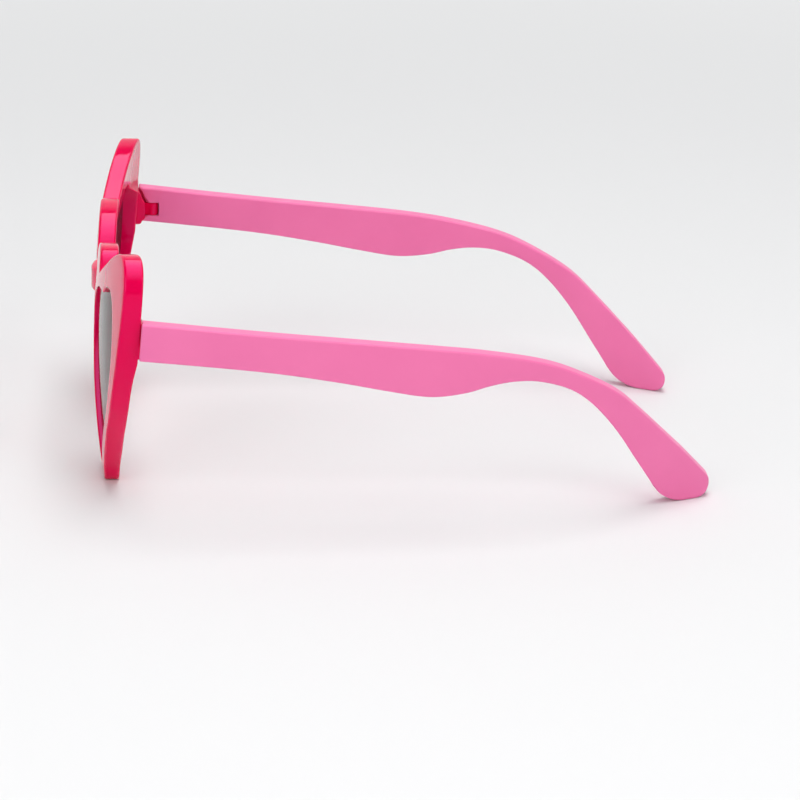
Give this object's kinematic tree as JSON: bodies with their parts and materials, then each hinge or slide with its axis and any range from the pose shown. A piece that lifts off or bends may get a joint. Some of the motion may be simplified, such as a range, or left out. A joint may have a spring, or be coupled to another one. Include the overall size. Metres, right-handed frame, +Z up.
{
  "type": "heart shaped sunglasses",
  "caption": "Heart shaped sunglasses with a glossy moulded front, dark tinted lenses and curved temples that fold on hinge pins.",
  "frame": {"origin": "on the ground under the middle of the box round the open sunglasses", "axes": "+X towards the wearer's left, -Y the way the wearer looks, +Z up; it stands on the tips of the hearts and temples"},
  "size_m": [0.124, 0.137, 0.0564],
  "materials": {
    "front_plastic": "glossy opaque hot pink, moulded",
    "temple_plastic": "satin light pink, moulded",
    "lens": "smooth grey tinted sheet, polished",
    "pin_steel": "plain drawn steel"
  },
  "bodies": {
    "front": {"front_frame": "front_plastic", "left_lens": "lens", "right_lens": "lens"},
    "left_arm": {"left_temple": "temple_plastic", "left_hinge_pin": "pin_steel"},
    "right_arm": {"right_temple": "temple_plastic", "right_hinge_pin": "pin_steel"}
  },
  "joints": [
    {"name": "left_temple_fold", "type": "hinge", "parent": "front", "child": "left_arm", "pos_m": [0.0594, -0.05425, 0.03818], "axis": [0, 0, 1], "range_deg": [0, 84]},
    {"name": "right_temple_fold", "type": "hinge", "parent": "front", "child": "right_arm", "pos_m": [-0.0594, -0.05425, 0.03818], "axis": [0, 0, -1], "range_deg": [0, 72]}
  ]
}
